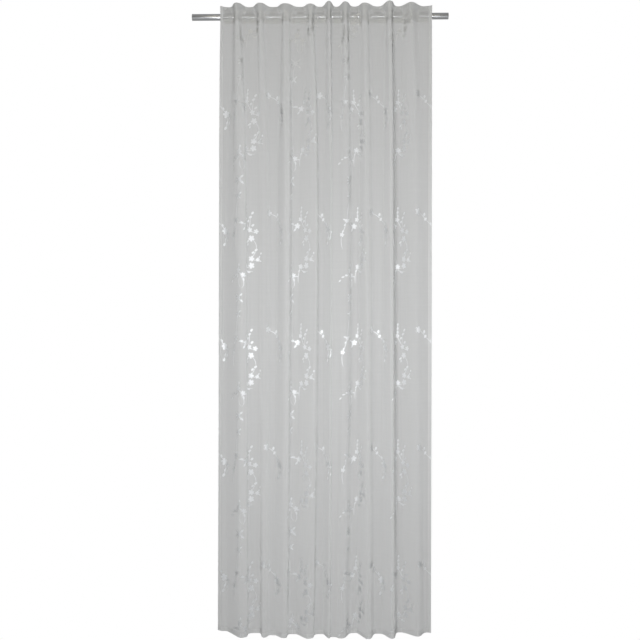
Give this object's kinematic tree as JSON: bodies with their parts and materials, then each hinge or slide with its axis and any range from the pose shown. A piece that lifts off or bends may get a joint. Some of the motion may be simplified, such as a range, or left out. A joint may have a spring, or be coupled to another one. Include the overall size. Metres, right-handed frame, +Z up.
{
  "type": "sheer voile curtain and rod",
  "caption": "Sheer voile curtain panel gathered in uneven vertical folds along a plain round rod by hidden loops on a heading tape.",
  "frame": {"origin": "middle of the rod, on its axis", "axes": "+X along the rod to the viewer's right, +Y back towards the wall or window, +Z up; the cloth hangs down -Z and its right side faces -Y"},
  "size_m": [1, 0.1463, 2.45],
  "materials": {
    "rod": "bright chromed steel tube, smooth",
    "voile": "sheer off-white voile with satin blossom sprays woven in",
    "tape": "matt white woven heading tape"
  },
  "bodies": {
    "root": {"rod": "rod", "voile_panel": "voile", "heading_tape": "tape", "tab_01": "tape", "tab_02": "tape", "tab_03": "tape", "tab_04": "tape", "tab_05": "tape", "tab_06": "tape", "tab_07": "tape", "tab_08": "tape", "tab_09": "tape", "tab_10": "tape"}
  },
  "joints": []
}
